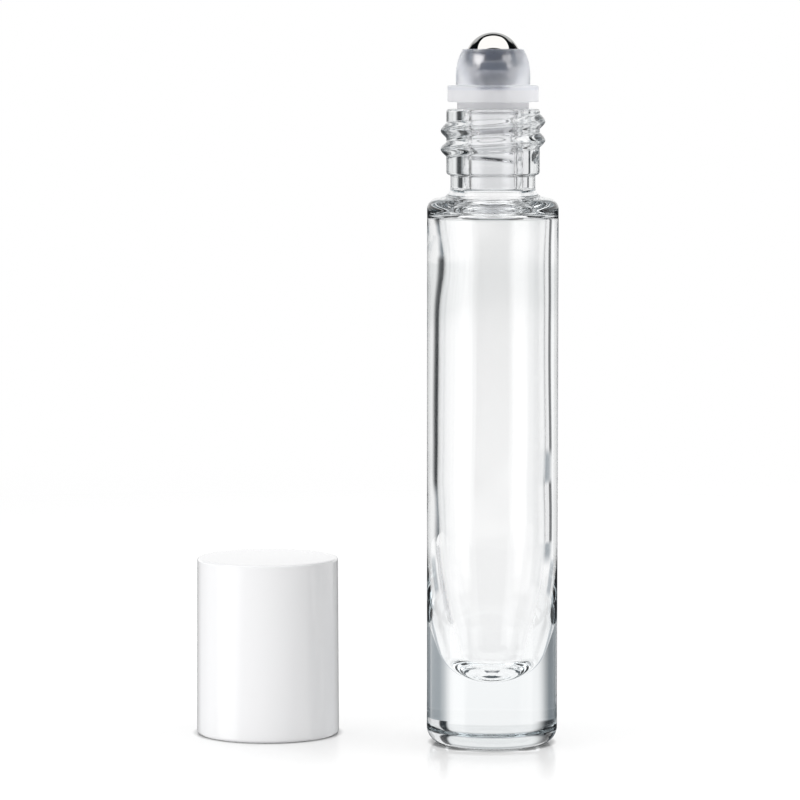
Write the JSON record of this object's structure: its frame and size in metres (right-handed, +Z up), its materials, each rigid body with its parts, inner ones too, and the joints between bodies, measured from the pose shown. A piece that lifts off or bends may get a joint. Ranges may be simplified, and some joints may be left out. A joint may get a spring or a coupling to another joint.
{
  "type": "roll on bottle",
  "caption": "Slim clear glass bottle with a heavy base and a screw neck, a moulded housing with a steel roller ball in its mouth, and its white cap stood beside it.",
  "frame": {"origin": "the middle of the footprint of the bottle and its cap together, on the table that both stand on", "axes": "+Z up along the bottle, +X towards the bottle from the cap, +Y to the back, where the cap's axis stands behind the bottle's; the bottle's axis is at x 16.5375 mm, y -4.6375 mm and the cap's at x -15.5625 mm, y 3.6625 mm"},
  "size_m": [0.0516, 0.0278, 0.1006],
  "materials": {
    "flint_glass": "clear, fire polished",
    "natural_polyethylene": "translucent, as moulded",
    "polished_steel": "mirror polished",
    "white_gloss_plastic": "glossy white",
    "white_insert_plastic": "white, as moulded"
  },
  "bodies": {
    "bottle": {"bottle": "flint_glass"},
    "housing": {"roller_housing": "natural_polyethylene"},
    "ball": {"roller_ball": "polished_steel"},
    "cap": {"cap_shell": "white_gloss_plastic", "cap_insert": "white_insert_plastic"}
  },
  "joints": [
    {"name": "housing_pull", "type": "slide", "parent": "bottle", "child": "housing", "axis": [0, 0, 1], "range_m": [0, 0.013]},
    {"name": "ball_roll", "type": "hinge", "parent": "housing", "child": "ball", "pos_m": [0.01654, -0.00464, 0.0966], "axis": [1, 0, 0], "continuous": true},
    {"name": "cap_lift", "type": "slide", "parent": "bottle", "child": "cap", "axis": [0, 0, 1], "range_m": [0, 0.11]}
  ]
}
